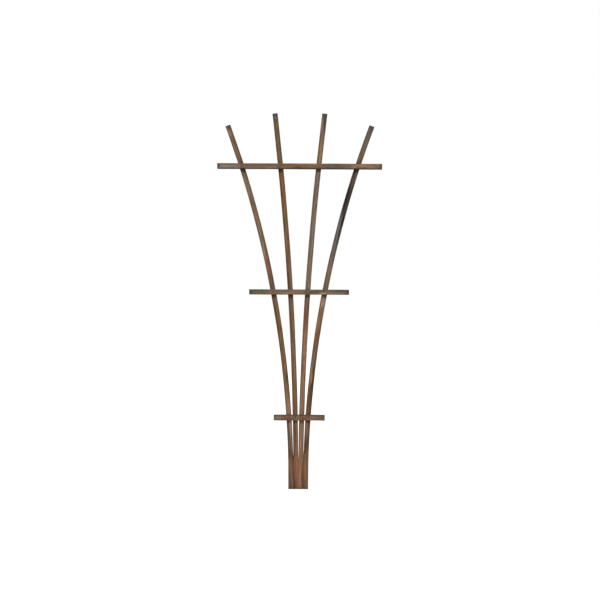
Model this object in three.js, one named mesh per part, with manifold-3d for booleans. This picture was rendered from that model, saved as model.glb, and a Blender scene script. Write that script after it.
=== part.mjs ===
// A fan trellis of stained softwood laths, for a climbing plant in a bed or a pot.
// Four uprights lie side by side at the foot and spring apart through three level rails.
// The rails lie on the front of the uprights, with one wire staple through each crossing.
// Two long screws, one from each side, pin the four uprights together at the foot.
// Millimetres, +Z up, +X to the viewer's right. The rails face the viewer, along -Y.
// The origin is the middle of the foot's end, in the plane where rails and uprights meet.

import * as THREE from "three";
import { mergeVertices } from "three/addons/utils/BufferGeometryUtils.js";
import Module from "manifold-3d";

const wasm = await Module();
wasm.setup();

// Laths: the sawn section of an upright and of a rail, and the eased edge that both have
const uprightWidth = 24;
const uprightDepth = 16;
const railWidth = 26;
const railDepth = 16;
const easedEdge = 0.8;

// Foot: the play between neighbours, and the heights of the two screws that pin them
const footClearance = 0.3;
const lowerScrewHeight = 48;
const upperScrewHeight = 76;

// Rails: the height of the middle line of each, and the step up to the next
const lowerRailHeight = 350;
const railPitch = 609;

// Fan: the open gap between neighbouring uprights along each rail, measured level
const lowerRailGap = 7.1;
const middleRailGap = 59.2;
const topRailGap = 163.2;

// Rail ends: how far each rail runs past the middle of the outer upright, and how far to the
// right of the middle line the lower rail was nailed on
const lowerRailReach = 77;
const middleRailReach = 117.1;
const topRailReach = 118.7;
const lowerRailShift = 3.6;

// Tips: how far the end of each upright lies above and outside its crossing of the top rail
const outerTipRise = 200;
const outerTipSpread = 69.9;
const innerTipRise = 259.5;
const innerTipSpread = 27.6;

// Staples: flat wire, driven flush, set askew so that the two legs enter different grain
const stapleCrown = 11.1;
const stapleLength = 26;
const stapleWireWidth = 1.6;
const stapleWireDepth = 1.4;
const stapleShoulder = 1.2;
const staplePoint = 1.8;
const stapleTilt = THREE.MathUtils.degToRad(30);
const stapleClearance = 0.3;

// Foot screws: countersunk, long enough to bite into the far upright, head sunk a little
const screwLength = 89;
const screwShank = 4.5;
const screwHead = 8.6;
const screwHeadHeight = 3.4;
const screwPoint = 9;
const screwSunk = 1;
const screwClearance = 0.3;

// Every cut runs this far past the face that it opens
const overrun = 2;

// Counts: stations along each span of a bent lath, sides of a round, steps of a small arc
const stationsPerSpan = 8;
const roundSides = 16;
const arcSteps = 3;

// Where the outer and the inner uprights stand, as shares of the spacing, from the middle line
const outerShare = 1.5;
const innerShare = 0.5;

const footSpacing = uprightWidth + footClearance;
const footHalfWidth = outerShare * footSpacing + uprightWidth / 2;

const railPlans = [
  {
    name: "lower",
    height: lowerRailHeight,
    spacing: uprightWidth + lowerRailGap,
    reach: lowerRailReach,
    shift: lowerRailShift,
    colour: 0x6b5846,
  },
  {
    name: "middle",
    height: lowerRailHeight + railPitch,
    spacing: uprightWidth + middleRailGap,
    reach: middleRailReach,
    shift: 0,
    colour: 0x695a4c,
  },
  {
    name: "top",
    height: lowerRailHeight + railPitch + railPitch,
    spacing: uprightWidth + topRailGap,
    reach: topRailReach,
    shift: 0,
    colour: 0x72594a,
  },
];

const outer = { share: outerShare, tipRise: outerTipRise, tipSpread: outerTipSpread };
const inner = { share: innerShare, tipRise: innerTipRise, tipSpread: innerTipSpread };

const uprightPlans = [
  { name: "left_outer", side: -1, ...outer, colour: 0x72533f },
  { name: "left_inner", side: -1, ...inner, colour: 0x6f5638 },
  { name: "right_inner", side: 1, ...inner, colour: 0x735b48 },
  { name: "right_outer", side: 1, ...outer, colour: 0x5c4b40 },
];

const screwPlans = [
  { name: "foot_screw_lower", side: -1, height: lowerScrewHeight },
  { name: "foot_screw_upper", side: 1, height: upperScrewHeight },
];

const zinc = { color: 0xa8a59c, roughness: 0.45, metalness: 0.85 };
const bronzeCoat = { color: 0x6e5a3c, roughness: 0.5, metalness: 0.7 };

// Solids: a closed geometry as a solid for cutting, and back

function solidOf(geometry) {
  const bare = geometry.clone();
  bare.deleteAttribute("normal");
  bare.deleteAttribute("uv");
  const merged = mergeVertices(bare);
  const mesh = new wasm.Mesh({
    numProp: 3,
    vertProperties: merged.attributes.position.array,
    triVerts: new Uint32Array(merged.index.array),
  });
  return new wasm.Manifold(mesh);
}

function geometryOf(solid) {
  const { vertProperties, triVerts } = solid.getMesh();
  const indexed = new THREE.BufferGeometry();
  indexed.setAttribute("position", new THREE.BufferAttribute(vertProperties, 3));
  indexed.setIndex(new THREE.BufferAttribute(triVerts, 1));
  const flat = indexed.toNonIndexed();
  flat.computeVertexNormals();
  return flat;
}

function cutAll(geometry, cutters) {
  const cut = cutters.reduce((rest, cutter) => rest.subtract(cutter), solidOf(geometry));
  return geometryOf(cut);
}

// Bent lath: a thin lath sprung between supports lies on the cubic spline through them.
// It stands upright at its first support and is free, so unbent, at its last.
// The bend at each support follows from a row of three-term equations, solved in one sweep.

function bendsAt(supports) {
  const last = supports.length - 1;
  const rise = (k) => supports[k + 1].height - supports[k].height;
  const lean = (k) => (supports[k + 1].offset - supports[k].offset) / rise(k);
  const carry = [0.5];
  const load = [(3 * lean(0)) / rise(0)];
  for (let k = 1; k < last; k++) {
    const pivot = 2 * (rise(k - 1) + rise(k)) - rise(k - 1) * carry[k - 1];
    carry.push(rise(k) / pivot);
    load.push((6 * (lean(k) - lean(k - 1)) - rise(k - 1) * load[k - 1]) / pivot);
  }
  const bends = new Array(last + 1).fill(0);
  for (let k = last - 1; k >= 0; k--) bends[k] = load[k] - carry[k] * bends[k + 1];
  return bends;
}

// Stations up the middle line of a lath: place, height and lean, from the foot to the tip

function middleLine(supports) {
  const bends = bendsAt(supports);
  const stations = [{ offset: supports[0].offset, height: 0, lean: 0 }];
  for (let k = 0; k < supports.length - 1; k++) {
    const low = supports[k];
    const high = supports[k + 1];
    const rise = high.height - low.height;
    const chordLean = (high.offset - low.offset) / rise;
    const startLean = chordLean - (rise * (2 * bends[k] + bends[k + 1])) / 6;
    for (let step = k === 0 ? 0 : 1; step <= stationsPerSpan; step++) {
      const up = (rise * step) / stationsPerSpan;
      const bendRate = (bends[k + 1] - bends[k]) / rise;
      stations.push({
        offset: low.offset + up * (startLean + up * (bends[k] / 2 + (up * bendRate) / 6)),
        height: low.height + up,
        lean: startLean + up * (bends[k] + (up * bendRate) / 2),
      });
    }
  }
  return stations;
}

// A lath's outline in front elevation: both edges lie half a width from the middle line,
// square to it, and so do the two saw cuts across its ends.

function lathOutline(stations, width) {
  const edge = (side) =>
    stations.map(({ offset, height, lean }) => {
      const square = new THREE.Vector2(1, -lean).setLength(width / 2);
      return new THREE.Vector2(offset, height).addScaledVector(square, side);
    });
  return [...edge(1), ...edge(-1).reverse()];
}

// A lath's body: its outline given depth towards the viewer, from the plane at back

function lathBody(outline, depth, back) {
  const body = new THREE.ExtrudeGeometry(new THREE.Shape(outline), {
    depth: depth - easedEdge - easedEdge,
    bevelThickness: easedEdge,
    bevelSize: easedEdge,
    bevelOffset: -easedEdge,
    bevelSegments: 1,
  });
  return body.translate(0, 0, back + easedEdge);
}

function uprightBody({ side, share, tipRise, tipSpread }) {
  const crossings = railPlans.map(({ height, spacing }) => ({
    height,
    offset: side * share * spacing,
  }));
  const top = crossings.at(-1);
  const supports = [
    { height: upperScrewHeight, offset: side * share * footSpacing },
    ...crossings,
    { height: top.height + tipRise, offset: top.offset + side * tipSpread },
  ];
  return lathBody(lathOutline(middleLine(supports), uprightWidth), uprightDepth, -uprightDepth);
}

function railBody({ height, spacing, reach, shift }) {
  const halfLength = outerShare * spacing + reach;
  const left = shift - halfLength;
  const right = shift + halfLength;
  const low = height - railWidth / 2;
  const high = height + railWidth / 2;
  const outline = [
    new THREE.Vector2(left, low),
    new THREE.Vector2(right, low),
    new THREE.Vector2(right, high),
    new THREE.Vector2(left, high),
  ];
  return lathBody(outline, railDepth, 0);
}

// A staple: a U of flat wire, with rounded shoulders to its crown and bevelled points.
// Play grows it all round for its slot, which is also open above the crown.

function stapleLegs(play, crownTop) {
  const half = stapleCrown / 2 + play;
  const inside = stapleCrown / 2 - stapleWireDepth - play;
  const underCrown = -stapleWireDepth - play;
  const tip = -stapleLength - play;
  const shape = new THREE.Shape();
  shape.moveTo(-half, tip);
  shape.lineTo(-inside, tip + staplePoint);
  shape.lineTo(-inside, underCrown);
  shape.lineTo(inside, underCrown);
  shape.lineTo(inside, tip + staplePoint);
  shape.lineTo(half, tip);
  shape.lineTo(half, crownTop);
  return shape;
}

function stapleWire() {
  const middle = stapleCrown / 2 - stapleShoulder;
  const shape = stapleLegs(0, -stapleShoulder);
  shape.absarc(middle, -stapleShoulder, stapleShoulder, 0, Math.PI / 2);
  shape.absarc(-middle, -stapleShoulder, stapleShoulder, Math.PI / 2, Math.PI);
  return flatWire(shape, stapleWireWidth);
}

function stapleSlot() {
  const half = stapleCrown / 2 + stapleClearance;
  const shape = stapleLegs(stapleClearance, overrun);
  shape.lineTo(-half, overrun);
  return flatWire(shape, stapleWireWidth + stapleClearance + stapleClearance);
}

function flatWire(shape, width) {
  const settings = { depth: width, bevelEnabled: false, curveSegments: arcSteps };
  const body = new THREE.ExtrudeGeometry(shape, settings);
  return body.translate(0, 0, -width / 2).rotateX(Math.PI / 2);
}

// Where the staple of a crossing lies: its crown flush with the front of the rail

function stapleSeat({ side, share }, { height, spacing }) {
  const turn = new THREE.Matrix4().makeRotationZ(stapleTilt);
  return turn.setPosition(side * share * spacing, height, railDepth);
}

// A foot screw: flat head, cone, shank and point, turned about its own line.
// Its hole is that screw grown all round, and open past the head.

function screwSteel() {
  return turned([
    [0, 0],
    [screwHead / 2, 0],
    [screwShank / 2, screwHeadHeight],
    [screwShank / 2, screwLength - screwPoint],
    [0, screwLength],
  ]);
}

function screwHole() {
  const head = screwHead / 2 + screwClearance;
  const shank = screwShank / 2 + screwClearance;
  return turned([
    [0, -screwSunk - overrun],
    [head, -screwSunk - overrun],
    [head, screwClearance],
    [shank, screwHeadHeight + screwClearance],
    [shank, screwLength - screwPoint + screwClearance],
    [0, screwLength + screwClearance],
  ]);
}

function turned(profile) {
  const points = profile.map(([radius, along]) => new THREE.Vector2(radius, along));
  return new THREE.LatheGeometry(points, roundSides);
}

// Where a foot screw lies: driven level from one side, halfway through the depth of the laths

function screwSeat({ side, height }) {
  const turn = new THREE.Matrix4().makeRotationZ((side * Math.PI) / 2);
  return turn.setPosition(side * (footHalfWidth - screwSunk), height, -uprightDepth / 2);
}

// Cutters for the slots and holes that the fasteners lie in

const stapleCutter = (upright, rail) =>
  solidOf(stapleSlot().applyMatrix4(stapleSeat(upright, rail)));

const screwCutters = screwPlans.map((screw) => solidOf(screwHole().applyMatrix4(screwSeat(screw))));

// Pieces

function wood(colour) {
  return new THREE.MeshStandardMaterial({ color: colour, roughness: 0.85, metalness: 0 });
}

function piece(name, geometry, material) {
  const mesh = new THREE.Mesh(geometry, material);
  mesh.name = name;
  return mesh;
}

function makeUpright(plan) {
  const cutters = [...railPlans.map((rail) => stapleCutter(plan, rail)), ...screwCutters];
  return piece(plan.name + "_upright", cutAll(uprightBody(plan), cutters), wood(plan.colour));
}

function makeRail(plan) {
  const cutters = uprightPlans.map((upright) => stapleCutter(upright, plan));
  return piece(plan.name + "_rail", cutAll(railBody(plan), cutters), wood(plan.colour));
}

function makeStaple(upright, rail) {
  const name = ["staple", rail.name, upright.name].join("_");
  const staple = piece(name, stapleWire(), new THREE.MeshStandardMaterial(zinc));
  staple.applyMatrix4(stapleSeat(upright, rail));
  return staple;
}

function makeScrew(plan) {
  const screw = piece(plan.name, screwSteel(), new THREE.MeshStandardMaterial(bronzeCoat));
  screw.applyMatrix4(screwSeat(plan));
  return screw;
}

// The trellis is drawn in front elevation, with its depth towards the viewer, then stood up

const elevation = new THREE.Group();
for (const plan of uprightPlans) elevation.add(makeUpright(plan));
for (const plan of railPlans) {
  elevation.add(makeRail(plan));
  for (const upright of uprightPlans) elevation.add(makeStaple(upright, plan));
}
for (const plan of screwPlans) elevation.add(makeScrew(plan));
elevation.rotation.x = Math.PI / 2;

const group = new THREE.Group();
group.add(elevation);

export default group;
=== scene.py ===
# %% [markdown]
# # Dressing a fan trellis
# A fan trellis holds up a climbing plant. Four sawn softwood laths lie side by side at the foot and spring
# apart through three level rails. A wire staple is driven through each crossing, and two long screws pin the
# foot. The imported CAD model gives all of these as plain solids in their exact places. This lesson gives each
# piece the surface that the real one has: sawn faces, soft corners, growth rings, brown stain and dirt.

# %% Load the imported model
import math
import bpy
import numpy as np
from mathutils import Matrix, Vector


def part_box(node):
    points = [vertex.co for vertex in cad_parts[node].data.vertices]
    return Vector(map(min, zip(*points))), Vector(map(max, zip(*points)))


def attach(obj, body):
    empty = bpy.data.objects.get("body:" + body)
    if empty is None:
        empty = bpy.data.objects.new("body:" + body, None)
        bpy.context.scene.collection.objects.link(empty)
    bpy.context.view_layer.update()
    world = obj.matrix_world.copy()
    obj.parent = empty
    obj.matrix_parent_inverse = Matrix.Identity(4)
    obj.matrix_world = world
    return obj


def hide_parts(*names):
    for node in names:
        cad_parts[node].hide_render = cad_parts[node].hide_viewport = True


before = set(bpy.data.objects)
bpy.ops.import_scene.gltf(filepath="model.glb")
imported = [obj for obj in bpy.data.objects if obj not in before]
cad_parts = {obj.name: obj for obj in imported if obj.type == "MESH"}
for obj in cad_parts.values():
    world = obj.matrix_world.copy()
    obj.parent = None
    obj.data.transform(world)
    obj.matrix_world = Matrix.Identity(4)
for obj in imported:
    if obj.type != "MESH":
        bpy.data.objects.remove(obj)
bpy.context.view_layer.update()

# %% [markdown]
# Every length below is a real one. The laths are about 24 by 16 mm, which is what such trellises are sawn to,
# and the corners are only broken by the saw and by handling. The heights of the rails and the crossings are
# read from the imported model, so that the dressed pieces can't drift away from it.

# %% Sizes of the laths and places of the crossings
MM = 0.001
UPRIGHTS = ["left_outer", "left_inner", "right_inner", "right_outer"]
RAILS = ["lower", "middle", "top"]
UPRIGHT_WIDTH = 24 * MM
RAIL_WIDTH = 26 * MM
LATH_DEPTH = 16 * MM
CORNER_RADIUS = 1.4 * MM
END_EDGE = 0.7 * MM  # the rounding of a cut end


def middle_of(node):
    """The middle of a CAD node's box, as an array."""
    low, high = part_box(node)
    return np.array((low + high) / 2)


rail_heights = [middle_of(f"{rail}_rail")[2] for rail in RAILS]
crossings = {u: [middle_of(f"staple_{rail}_{u}")[0] for rail in RAILS] for u in UPRIGHTS}
print("rail heights in mm:", np.round(np.array(rail_heights) / MM, 1))
print("crossings of the left outer upright in mm:", np.round(np.array(crossings["left_outer"]) / MM, 1))

# %% [markdown]
# ## The bent uprights
# A maker bends a straight lath cold and nails it to the rails, so it takes the shape of a thin spring held at
# a few points. Drawing it by hand would put the bend in the wrong places. The shape of such a spring is a
# cubic spline: it stands upright where the upper foot screw holds it, passes through its three crossings, and
# runs straight at the free tip. The bend at each support follows from one small set of linear equations. Real
# wood has soft and stiff spots, so each lath also strays from that spring by a millimetre or so in places.

# %% The bend of a sprung lath
FOOT_SPACING = 24.3 * MM
FOOT_SHARE = {"left_outer": -1.5, "left_inner": -0.5, "right_inner": 0.5, "right_outer": 1.5}
TIP_RISE = {"outer": 200 * MM, "inner": 259.5 * MM}
TIP_SPREAD = {"outer": 69.9 * MM, "inner": 27.6 * MM}
LINE_STEP = 0.5 * MM
SOFT_SPOTS = {  # how far to the right, at what height, and reach, all in mm
    "left_outer": [(-0.5, 1010, 120), (-1.4, 1340, 210)],
    "left_inner": [(-0.8, 700, 350), (0.85, 1500, 200)],
    "right_inner": [(0.6, 800, 160), (-1.1, 1460, 230)],
    "right_outer": [(0.4, 1020, 110), (1.3, 1260, 130), (0.45, 1470, 90)],
}
clamp_height = middle_of("foot_screw_upper")[2]


def bends_at(heights, offsets):
    """The bend at each support. Inside, each support's equation ties its bend to its neighbours':
    rise below * bend below + 2 * both rises * bend + rise above * bend above = 6 * change of lean."""
    rise = np.diff(heights)
    lean = np.diff(offsets) / rise
    last = len(rise)
    ties = np.eye(last + 1)
    load = np.zeros(last + 1)
    ties[0, :2] = 2 * rise[0], rise[0]
    load[0] = 6 * lean[0]
    for k in range(1, last):
        ties[k, k - 1:k + 2] = rise[k - 1], 2 * (rise[k - 1] + rise[k]), rise[k]
        load[k] = 6 * (lean[k] - lean[k - 1])
    return np.linalg.solve(ties, load)


def sprung_line(heights, offsets, depth_middle, soft_spots):
    """The middle line as a table, every half millimetre of height. Between two supports the offset is the
    straight chord plus a cubic that the bends at its ends decide; below the first support it is level. Where
    the wood is soft or stiff it strays a little, by a bell curve: how far, at what height, and its reach."""
    heights, offsets = np.array(heights), np.array(offsets)
    bends = bends_at(heights, offsets)
    up = np.append(np.arange(0, heights[-1], LINE_STEP), heights[-1])
    span = np.clip(np.searchsorted(heights, up, side="right") - 1, 0, len(heights) - 2)
    rise = (heights[1:] - heights[:-1])[span]
    above = np.clip((up - heights[span]) / rise, 0, 1)
    below = 1 - above
    chord = offsets[span] * below + offsets[span + 1] * above
    sag = (below**3 - below) * bends[span] + (above**3 - above) * bends[span + 1]
    across = chord + sag * rise**2 / 6
    for stray, height, reach in soft_spots:
        across = across + stray * MM * np.exp(-(((up / MM - height) / reach) ** 2))
    steps = np.hypot(np.diff(across), np.diff(up))
    along = np.append(0, np.cumsum(steps))
    return {"along": along, "x": across, "z": up, "y": depth_middle}


print("the upper foot screw holds the uprights at", round(clamp_height / MM), "mm")

# %% Points on a line, and the lines of all seven laths
def line_at(line, place):
    """Points and directions of a line at places along it, read from its table."""
    direction = {axis: np.gradient(line[axis], line["along"]) for axis in "xz"}
    point = [np.interp(place, line["along"], line[axis]) for axis in "xz"]
    heading = [np.interp(place, line["along"], direction[axis]) for axis in "xz"]
    points = np.stack([point[0], np.full_like(place, line["y"]), point[1]], axis=-1)
    headings = np.stack([heading[0], np.zeros_like(place), heading[1]], axis=-1)
    return points, headings / np.linalg.norm(headings, axis=-1, keepdims=True)


def upright_line(upright):
    """The line of one upright, from the foot to the tip."""
    side = -1 if upright.startswith("left") else 1
    kind = upright.split("_")[1]
    heights = [clamp_height, *rail_heights, rail_heights[-1] + TIP_RISE[kind]]
    tip = crossings[upright][-1] + side * TIP_SPREAD[kind]
    offsets = [FOOT_SHARE[upright] * FOOT_SPACING, *crossings[upright], tip]
    return sprung_line(heights, offsets, LATH_DEPTH / 2, SOFT_SPOTS[upright])


def rail_line(rail):
    """The line of one rail, straight from its left end to its right end."""
    low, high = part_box(f"{rail}_rail")
    x = np.array([low[0], high[0]])
    return {"along": x - x[0], "x": x, "z": np.full(2, middle_of(f"{rail}_rail")[2]), "y": -LATH_DEPTH / 2}


lines = {f"{u}_upright": upright_line(u) for u in UPRIGHTS}
lines.update({f"{rail}_rail": rail_line(rail) for rail in RAILS})
for name, line in lines.items():
    print(f"{name}: {line['along'][-1] / MM:.1f} mm long")

# %% [markdown]
# ## The section of a lath
# A sawn lath is a rectangle whose four corners are a little rounded. It could be a box with a Bevel modifier,
# but wear, cracks and staple beds need many points on the faces. So the section is one closed row of points,
# each with the direction in which the wood ends there, and it is later carried along the lath's line.

# %% A rounded section
CORNER_STEPS = 4
CRACK_COLUMNS = np.array([-0.35, 0, 0.35]) * MM


def lath_section(width, depth, steps, cracks=(), radius=CORNER_RADIUS):
    """One closed row of points, anticlockwise seen from the tip: front face, right side, back face, left
    side, with a quarter circle between them. A crack adds three columns close together on the front."""
    half = np.array([width / 2 - radius, depth / 2 - radius])
    faces = {"front": (0, -1), "right": (1, 0), "back": (0, 1), "left": (-1, 0)}
    points, normals, face_gap = [], [], []
    for face, (out_across, out_depth) in faces.items():
        reach = half[0] if out_across == 0 else half[1]
        flat = np.linspace(-reach, reach, int(2 * reach / steps[face]) + 1)
        if face == "front":
            for crack in cracks:
                clear = flat[np.abs(flat - crack) > 0.5 * steps[face]]
                flat = np.sort(np.append(clear, crack + CRACK_COLUMNS))
        outward = np.array([out_across, out_depth])
        onward = np.array([-out_depth, out_across])
        base = outward * (half + radius)
        points.append(base + flat[:, None] * onward)
        normals.append(np.tile(outward, (len(flat), 1)))
        face_gap.append(reach - np.abs(flat))
        turn = np.linspace(0, math.pi / 2, CORNER_STEPS + 1)[1:-1, None]
        arc = outward * np.cos(turn) + onward * np.sin(turn)
        points.append((outward + onward) * half + radius * arc)
        normals.append(arc)
        face_gap.append(np.zeros(len(turn)))
    points, normals = np.concatenate(points), np.concatenate(normals)
    walked = np.cumsum(np.linalg.norm(points - np.roll(points, 1, axis=0), axis=-1))
    return {
        "across": points[:, 0],
        "depth": points[:, 1],
        "out_across": normals[:, 0],
        "out_depth": normals[:, 1],
        "gap": np.concatenate(face_gap),
        "walked": walked,
        "round": walked[-1],
    }


plain_steps = {"front": 0.8 * MM, "right": 1 * MM, "back": 1 * MM, "left": 1 * MM}
sample_section = lath_section(UPRIGHT_WIDTH, LATH_DEPTH, plain_steps)
print("points round a plain upright:", len(sample_section["across"]))

# %% [markdown]
# ## Rings of points along a lath
# The section is repeated at places along the line. Plain stretches need one about every 3.5 mm, but where a
# staple or a screw goes in they lie close together. The last rings close each saw cut: a small quarter round,
# then rings that shrink towards the middle, so that the cut end is part of the same closed surface.

# %% Places of the rings
CAP_SHARES = np.array([0.1, 0.25, 0.42, 0.6, 0.76, 0.88, 0.96])
ROUNDING = np.radians([0, 30, 60])
UPRIGHT_RING_STEP = 3.5 * MM
RAIL_RING_STEP = 3 * MM


def ring_places(length, step, fine_spots=(), reach=8 * MM, fine_step=0.5 * MM):
    """Place along the lath, inset and share of each ring. The body's rings have inset 0 and share 1."""
    body = [np.linspace(END_EDGE, length - END_EDGE, int(length / step))]
    for spot in fine_spots:
        body.append(np.arange(spot - reach, spot + reach, fine_step))
    body = np.unique(np.round(np.concatenate(body), 5))
    body = body[np.append(True, np.diff(body) > 0.3 * fine_step)]
    rounding = END_EDGE * (1 - np.cos(ROUNDING))
    zero = np.zeros(len(CAP_SHARES))
    place = np.concatenate([zero, rounding, body, length - rounding[::-1], zero + length])
    edge = END_EDGE * (1 - np.sin(ROUNDING))
    inset = np.concatenate([zero + END_EDGE, edge, 0 * body, edge[::-1], zero + END_EDGE])
    full = np.ones(len(ROUNDING) * 2 + len(body))
    share = np.concatenate([CAP_SHARES, full, CAP_SHARES[::-1]])
    return {"place": place, "inset": inset, "share": share, "length": length}


sample_rings = ring_places(lines["left_inner_upright"]["along"][-1], UPRIGHT_RING_STEP)
print("rings along the left inner upright:", len(sample_rings["place"]))

# %% [markdown]
# ## Wear in the wood
# A sawn lath is never even. Its width wanders by a few tenths of a millimetre, fibres tear out in long
# shallow hollows, corners lose splinters, and the cut ends crack as they dry. Each effect is a depth that
# moves points inwards. A side can also be sawn a little full, or planed a little lean. Neighbouring feet are
# pressed together, so there each side reaches its neighbour's.

# %% Faces that wander
SAWN_FULL = 0.95  # how full the sides of an upright are, as a share of their wander
SAWN_EVEN = 0.5  # the sides of a rail wander evenly both ways
SIDE_WANDER, BACK_WANDER, FRONT_WANDER = 0.5 * MM, 0.25 * MM, 0.2 * MM
LONG_WAVE = (620 * MM, 140 * MM)  # longest and shortest
SHORT_WAVE = (60 * MM, 20 * MM)
SHORT_SHARE = 0.3
OVERLAP = 0.06 * MM  # how far a pressed side reaches past the middle of the gap
PARTING = 44 * MM  # length over which the press fades out
FREE_FROM = 190 * MM  # an upright is free of its neighbours between here and twice as high
BARE_FROM = (30 * MM, 80 * MM)  # where the planing of an outermost side fades in


def soft_step(value, start, end):
    """Rises smoothly from 0 at start to 1 at end."""
    share = np.clip((value - start) / (end - start), 0, 1)
    return share * share * (3 - 2 * share)


def swell(place, rng, longest, shortest, count=5):
    """A slow random wave between 0 and 1: the mean of a few sines of random length and start."""
    waves = np.zeros_like(place)
    for length in rng.uniform(shortest, longest, count):
        waves += np.sin(2 * math.pi * (place / length + rng.uniform()))
    return 0.5 + 0.5 * np.clip(waves / (0.8 * count), -1, 1)


def wandering_faces(place, section, rng, free, full):
    """Each of the four faces wanders by itself: its wave, less how full it was sawn, times how much a point
    belongs to that face. The sides wander both ways, front and back only inwards. Free is 0 where a
    neighbour holds the lath, and 1 elsewhere."""
    across, depth = section["out_across"][None, :], section["out_depth"][None, :]
    belongs = [(across, SIDE_WANDER, full), (-across, SIDE_WANDER, full),
               (depth, BACK_WANDER, 0), (-depth, FRONT_WANDER, 0)]
    inward = 0
    for face, most, middle in belongs:
        wave = swell(place, rng, *LONG_WAVE) - middle
        wave = wave + SHORT_SHARE * (swell(place, rng, *SHORT_WAVE) - middle)
        inward = inward + most * (free * wave)[:, None] * np.clip(face, 0, 1) ** 2
    return inward


def pressed_sides(node, place, section, neighbours):
    """Up to the height where two neighbours part, the screws press them together, so each side reaches out
    by half the gap between the two lines; above it the reach fades away."""
    inward = 0
    for side, neighbour, parting in neighbours:
        own, other = (np.interp(place, lines[n]["along"], lines[n]["x"]) for n in (node, neighbour))
        half_gap = (np.abs(own - other) - UPRIGHT_WIDTH) / 2 + OVERLAP
        reach = half_gap * soft_step(-place, -parting - PARTING, -parting)
        inward = inward - reach[:, None] * np.clip(side * section["out_across"][None, :], 0, 1) ** 2
    return inward


sample_wave = swell(sample_rings["place"], np.random.default_rng(0), *LONG_WAVE)
print("a long wave runs from", np.round(sample_wave.min(), 2), "to", np.round(sample_wave.max(), 2))

# %% Splinters, torn fibres and cracks
SPLINTERS = ([4, 0.8, 0.5], [22, 2.4, 1.7])  # least and most length, width and depth in mm
SPLINTER_GAP = 120 * MM
TORN_FIBRES = ([20, 0.8, 0.2], [90, 2.2, 0.6])
TORN_GAP = 150 * MM
CRACK_DEPTH = 2.4 * MM


def scar(rings, section, where, walked, length, width, depth):
    """One hollow: a depth times a flat-topped bell curve along the lath and a plain one round the section."""
    along = (rings["place"][:, None] - where) / length
    round_way = (section["walked"][None, :] - walked + section["round"] / 2) % section["round"]
    sideways = (round_way - section["round"] / 2) / width
    return depth * np.exp(-along**4 - sideways**2)


def scars(rings, section, rng):
    """Splinters lost from corners, short and deep, and torn fibres on the faces, long and shallow."""
    inward = np.zeros((len(rings["place"]), len(section["walked"])))
    corners = section["walked"][section["gap"] == 0]
    for _ in range(int(rings["length"] / SPLINTER_GAP) + 2):
        where = rng.uniform(10 * MM, rings["length"] - 10 * MM)
        length, width, depth = rng.uniform(*SPLINTERS) * MM
        inward += scar(rings, section, where, rng.choice(corners), length, width, depth)
    for _ in range(int(rings["length"] / TORN_GAP) + 2):
        where, walked = rng.uniform([0, 0], [rings["length"], section["round"]])
        length, width, depth = rng.uniform(*TORN_FIBRES) * MM
        inward += scar(rings, section, where, walked, length, width, depth)
    return inward


def drying_cracks(rings, section, cracks):
    """A crack is one column pushed in, deepest at the cut end and gone where its length is used up."""
    inward = np.zeros((len(rings["place"]), len(section["walked"])))
    for end, across, length in cracks:
        column = np.argmin(np.abs(section["across"] - across) + (section["out_depth"] > -0.9))
        away = rings["place"] if end == "foot" else rings["length"] - rings["place"]
        inward[:, column] += CRACK_DEPTH * np.sqrt(np.clip(1 - away / length, 0, 1))
    return inward


sample_scars = scars(sample_rings, sample_section, np.random.default_rng(0))
print("deepest scar of a sample lath in mm:", np.round(sample_scars.max() / MM, 2))

# %% [markdown]
# ## Growth rings
# Each lath was cut from somewhere in a log, so its growth rings are circles round a pith that lies outside
# the section and wanders a little. The count of rings out to a point is its distance to the pith over the
# ring width. It is worked out here, once, and kept on the mesh, so that colour and raised grain agree, the
# rings follow the bend, and they show as arcs on the cut ends. A knot pushes the rings aside.

# %% Count the rings
PITH_WAVES = [(900 * MM, 250 * MM), (700 * MM, 200 * MM)]
PITH_REACH = (9 * MM, 7 * MM)
KNOT_PUSH = 1.6


def ring_count(across, depth, along, pith, ring_width, knots, rng):
    """Distance from the wandering pith over the ring width, plus a bell-shaped push round each knot."""
    waves = [swell(along, rng, *wave) for wave in PITH_WAVES]
    pith_across = pith[0] * MM + PITH_REACH[0] * (waves[0] - 0.5)
    pith_depth = pith[1] * MM + PITH_REACH[1] * (waves[1] - 0.5)
    count = np.hypot(across - pith_across, depth - pith_depth) / (ring_width * MM)
    for knot_along, knot_across, radius in knots:
        away = ((along - knot_along * MM) / (5 * radius * MM)) ** 2
        away = away + ((across - knot_across * MM) / (2 * radius * MM)) ** 2
        count += KNOT_PUSH * np.exp(-away)
    return count


sample_count = ring_count(0.0, 0.0, np.zeros(1), (26, 22), 2.6, (), np.random.default_rng(0))
print("rings between the pith and the middle of a lath:", np.round(sample_count, 1))

# %% [markdown]
# ## From points to a piece
# The rings of points are joined by quads, and each cut end is closed by a fan of triangles to one middle
# point. Three things are kept at every point of a lath for its material: where it lies in the straight,
# unbent lath, its ring count, and how worn it is, which also tells where shade is painted into its corners and
# hollows. A pattern that reads these follows the bend as grain does.

# %% Join rings into a closed skin
def keep_on_points(mesh, name, kind, values):
    """Stores one value or vector a point, as a named attribute that materials can read."""
    attribute = mesh.attributes.new(name, kind, "POINT")
    key = "vector" if kind == "FLOAT_VECTOR" else "value"
    attribute.data.foreach_set(key, np.ascontiguousarray(values, dtype=np.float32).ravel())


def new_object(name, data):
    """An object for a mesh, a lamp or a camera, linked into the scene at the origin."""
    thing = bpy.data.objects.new(name, data)
    bpy.context.collection.objects.link(thing)
    return thing


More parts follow.
